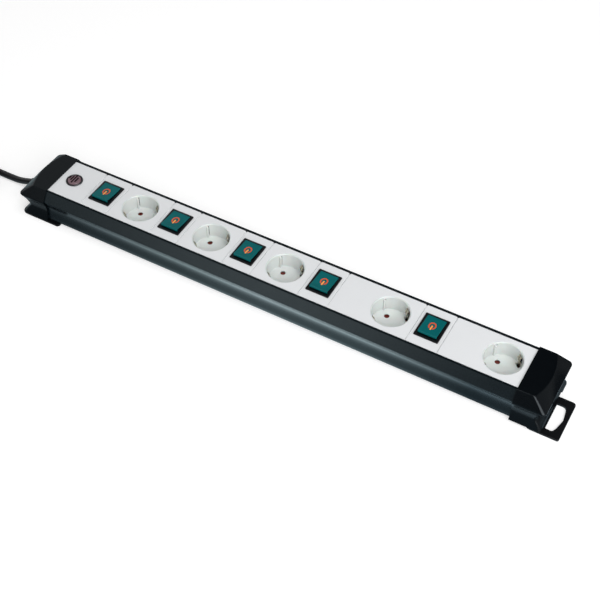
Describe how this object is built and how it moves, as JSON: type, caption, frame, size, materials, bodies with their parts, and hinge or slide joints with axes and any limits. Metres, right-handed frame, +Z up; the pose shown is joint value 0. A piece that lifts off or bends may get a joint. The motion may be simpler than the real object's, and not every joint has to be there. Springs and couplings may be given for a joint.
{
  "type": "power strip",
  "caption": "Long switched power strip with round earthed sockets, a rocker switch beside each, a breaker button, swivelling hanging brackets and a tied mains lead.",
  "frame": {"origin": "centre of the footprint of the strip with its right bracket, on the surface that it stands on, measured without the mains lead", "axes": "+X along the strip towards the end without the lead, +Y across it away from the bracket pivots, +Z up out of the socket faces"},
  "size_m": [0.9609, 0.1056, 0.0463],
  "materials": {
    "white_plastic": "satin",
    "black_plastic": "satin",
    "channel_plastic": "satin",
    "teal_plastic": "gloss",
    "shutter_plastic": "matte",
    "button_plastic": "gloss",
    "spring_steel": "bright",
    "steel": "zinc plated",
    "nickel": "nickel plated",
    "brass": "plain",
    "cord_rubber": "matte",
    "tie_fabric": "woven"
  },
  "bodies": {
    "strip": {"breaker_module": "white_plastic", "switch_module_1": "white_plastic", "switch_module_2": "white_plastic", "switch_module_3": "white_plastic", "switch_module_4": "white_plastic", "switch_module_5": "white_plastic", "socket_module_1": "white_plastic", "socket_module_2": "white_plastic", "socket_module_3": "white_plastic", "socket_module_4": "white_plastic", "socket_module_5": "white_plastic", "switch_housing_1": "black_plastic", "switch_housing_2": "black_plastic", "switch_housing_3": "black_plastic", "switch_housing_4": "black_plastic", "switch_housing_5": "black_plastic", "breaker_barrel": "black_plastic", "left_cap": "black_plastic", "right_cap": "black_plastic", "channel_body": "channel_plastic", "earth_contact_1": "spring_steel", "live_contact_1": "brass", "earth_contact_2": "spring_steel", "live_contact_2": "brass", "earth_contact_3": "spring_steel", "live_contact_3": "brass", "earth_contact_4": "spring_steel", "live_contact_4": "brass", "earth_contact_5": "spring_steel", "live_contact_5": "brass", "neutral_bar": "brass", "earth_bar": "brass", "live_feed_bar": "brass", "left_cap_screw": "steel", "right_cap_screw": "steel", "left_rivet": "steel", "right_rivet": "steel", "strain_relief": "cord_rubber", "cord_lead": "cord_rubber", "cord_hank": "cord_rubber", "cord_tail": "cord_rubber", "plug_body": "cord_rubber", "hank_tie_1": "tie_fabric", "hank_tie_2": "tie_fabric", "plug_pin_1": "nickel", "plug_pin_2": "nickel"},
    "rocker_1": {"rocker_1": "teal_plastic"},
    "rocker_2": {"rocker_2": "teal_plastic"},
    "rocker_3": {"rocker_3": "teal_plastic"},
    "rocker_4": {"rocker_4": "teal_plastic"},
    "rocker_5": {"rocker_5": "teal_plastic"},
    "shutter_1": {"shutter_1": "shutter_plastic"},
    "shutter_2": {"shutter_2": "shutter_plastic"},
    "shutter_3": {"shutter_3": "shutter_plastic"},
    "shutter_4": {"shutter_4": "shutter_plastic"},
    "shutter_5": {"shutter_5": "shutter_plastic"},
    "reset_button": {"reset_button": "button_plastic"},
    "left_bracket": {"left_bracket": "black_plastic"},
    "right_bracket": {"right_bracket": "black_plastic"}
  },
  "joints": [
    {"name": "rocker_1_tilt", "type": "hinge", "parent": "strip", "child": "rocker_1", "pos_m": [-0.22555, 0, 0.0395], "axis": [1, 0, 0], "range_deg": [0, 12]},
    {"name": "rocker_2_tilt", "type": "hinge", "parent": "strip", "child": "rocker_2", "pos_m": [-0.13545, 0, 0.0395], "axis": [1, 0, 0], "range_deg": [0, 12]},
    {"name": "rocker_3_tilt", "type": "hinge", "parent": "strip", "child": "rocker_3", "pos_m": [-0.04535, 0, 0.0395], "axis": [1, 0, 0], "range_deg": [0, 12]},
    {"name": "rocker_4_tilt", "type": "hinge", "parent": "strip", "child": "rocker_4", "pos_m": [0.04475, 0, 0.0395], "axis": [1, 0, 0], "range_deg": [0, 12]},
    {"name": "rocker_5_tilt", "type": "hinge", "parent": "strip", "child": "rocker_5", "pos_m": [0.16595, 0, 0.0395], "axis": [1, 0, 0], "range_deg": [0, 12]},
    {"name": "shutter_1_turn", "type": "hinge", "parent": "strip", "child": "shutter_1", "pos_m": [-0.1805, 0, 0.0208], "axis": [0, 0, 1], "range_deg": [-38, 0], "stiffness_Nm_per_rad": 0.002},
    {"name": "shutter_2_turn", "type": "hinge", "parent": "strip", "child": "shutter_2", "pos_m": [-0.0904, 0, 0.0208], "axis": [0, 0, 1], "range_deg": [-38, 0], "stiffness_Nm_per_rad": 0.002},
    {"name": "shutter_3_turn", "type": "hinge", "parent": "strip", "child": "shutter_3", "pos_m": [-0.0003, 0, 0.0208], "axis": [0, 0, 1], "range_deg": [-38, 0], "stiffness_Nm_per_rad": 0.002},
    {"name": "shutter_4_turn", "type": "hinge", "parent": "strip", "child": "shutter_4", "pos_m": [0.1209, 0, 0.0208], "axis": [0, 0, 1], "range_deg": [-38, 0], "stiffness_Nm_per_rad": 0.002},
    {"name": "shutter_5_turn", "type": "hinge", "parent": "strip", "child": "shutter_5", "pos_m": [0.2421, 0, 0.0208], "axis": [0, 0, 1], "range_deg": [-38, 0], "stiffness_Nm_per_rad": 0.002},
    {"name": "reset_button_press", "type": "slide", "parent": "strip", "child": "reset_button", "axis": [0, 0, -1], "range_m": [0, 0.0025], "stiffness_N_per_m": 200},
    {"name": "left_bracket_swing", "type": "hinge", "parent": "strip", "child": "left_bracket", "pos_m": [-0.31125, -0.027, 0.0012], "axis": [0, 0, 1], "range_deg": [0, 90]},
    {"name": "right_bracket_swing", "type": "hinge", "parent": "strip", "child": "right_bracket", "pos_m": [0.29375, -0.027, 0.0012], "axis": [0, 0, 1], "range_deg": [0, 90]}
  ]
}
